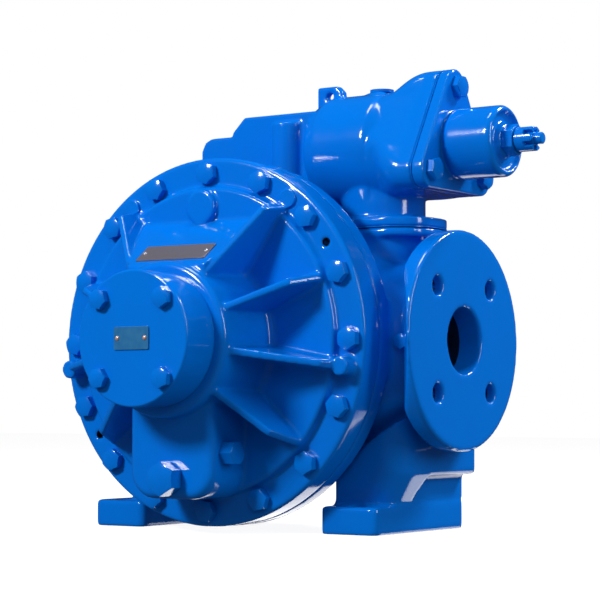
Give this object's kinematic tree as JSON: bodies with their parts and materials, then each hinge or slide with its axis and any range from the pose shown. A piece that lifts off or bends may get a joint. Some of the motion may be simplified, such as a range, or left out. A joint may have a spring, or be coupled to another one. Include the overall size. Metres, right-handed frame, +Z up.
{
  "type": "eccentric disc pump",
  "caption": "Eccentric disc pump: a driven shaft makes a disc orbit in a ring-shaped cylinder to move liquid between two side ports, with a spring-loaded relief valve on top.",
  "frame": {"origin": "floor plane, middle of the four foot bolts; the shaft axis is 180 mm above it and the port axis crosses it", "axes": "+Z up, +Y along the shaft towards the drive end, +X out of the right-hand port seen from the cover side"},
  "size_m": [0.477, 0.474, 0.437],
  "materials": {
    "blue_painted_casting": "gloss",
    "blue_painted_fastener": "gloss",
    "black_rubber": "matte",
    "grey_gasket": "matte",
    "plate_metal": "satin",
    "bronze": "satin",
    "cast_iron_bare": "machined",
    "bright_steel": "satin"
  },
  "bodies": {
    "body": {"pump_body": "blue_painted_casting", "front_cover": "blue_painted_casting", "cover_bolts": "blue_painted_fastener", "cover_oring": "black_rubber", "bearing_cap": "blue_painted_casting", "cap_gasket": "grey_gasket", "cap_bolts": "blue_painted_fastener", "cap_plate": "plate_metal", "name_plate": "plate_metal", "drain_plug": "blue_painted_fastener", "side_plug": "blue_painted_fastener", "front_bearing_outer": "bright_steel", "front_seal": "black_rubber", "cylinder": "cast_iron_bare", "cylinder_bush": "bronze", "cylinder_screws": "bright_steel", "partition": "bright_steel", "rear_bearing_outer": "bright_steel", "rear_bearing_cap": "blue_painted_casting", "rear_cap_bolts": "blue_painted_fastener", "shaft_seal": "black_rubber", "valve_body": "blue_painted_casting", "valve_seat": "bright_steel", "valve_cap": "blue_painted_casting", "valve_cap_gasket": "grey_gasket", "valve_cap_bolts": "blue_painted_fastener", "lock_nut": "bright_steel", "vent_plug": "blue_painted_fastener", "neck_gasket": "grey_gasket", "base_gasket": "grey_gasket", "neck_screws": "blue_painted_fastener", "base_bolts": "blue_painted_fastener"},
    "shaft": {"drive_shaft": "bright_steel", "front_bearing_inner": "bright_steel", "front_shaft_nut": "bright_steel", "eccentric_bearing_inner": "bright_steel", "eccentric_retaining_ring": "bright_steel", "rear_bearing_inner": "bright_steel", "rear_retaining_ring": "bright_steel"},
    "disc": {"piston_disc": "cast_iron_bare", "eccentric_bearing_outer": "bright_steel"},
    "front_rolling_set": {"front_bearing_rollers": "bright_steel"},
    "eccentric_rolling_set": {"eccentric_bearing_rollers": "bright_steel"},
    "rear_rolling_set": {"rear_bearing_balls": "bright_steel"},
    "poppet": {"valve_poppet": "bright_steel", "valve_spring": "bright_steel"},
    "spring_plate": {"spring_plate": "bright_steel"},
    "adjuster": {"adjusting_screw": "bright_steel"}
  },
  "joints": [
    {"name": "shaft_spin", "type": "hinge", "parent": "body", "child": "shaft", "pos_m": [0, 0, 0.18], "axis": [0, 1, 0], "continuous": true},
    {"name": "disc_orbit", "type": "hinge", "parent": "shaft", "child": "disc", "pos_m": [0.008, 0, 0.18], "axis": [0, 1, 0], "continuous": true},
    {"name": "eccentric_rollers_turn", "type": "hinge", "parent": "shaft", "child": "eccentric_rolling_set", "pos_m": [0.008, 0, 0.18], "axis": [0, 1, 0], "continuous": true},
    {"name": "front_rollers_turn", "type": "hinge", "parent": "body", "child": "front_rolling_set", "pos_m": [0, 0, 0.18], "axis": [0, 1, 0], "continuous": true},
    {"name": "rear_balls_turn", "type": "hinge", "parent": "body", "child": "rear_rolling_set", "pos_m": [0, 0, 0.18], "axis": [0, 1, 0], "continuous": true},
    {"name": "poppet_lift", "type": "slide", "parent": "body", "child": "poppet", "axis": [1, 0, 0], "range_m": [0, 0.01], "stiffness_N_per_m": 20000, "springref_m": -0.01, "deforming": ["valve_spring"]},
    {"name": "plate_travel", "type": "slide", "parent": "body", "child": "spring_plate", "axis": [1, 0, 0], "range_m": [0, 0.005]},
    {"name": "screw_turn", "type": "hinge", "parent": "spring_plate", "child": "adjuster", "pos_m": [0.2, 0, 0.365], "axis": [1, 0, 0], "range_deg": [0, 900]}
  ],
  "couplings": [
    {"joint": "disc_orbit", "follows": "shaft_spin", "ratio": -1},
    {"joint": "eccentric_rollers_turn", "follows": "shaft_spin", "ratio": -0.59},
    {"joint": "front_rollers_turn", "follows": "shaft_spin", "ratio": 0.41},
    {"joint": "rear_balls_turn", "follows": "shaft_spin", "ratio": 0.42},
    {"joint": "screw_turn", "follows": "plate_travel", "rad_per_m": 3141.6}
  ]
}
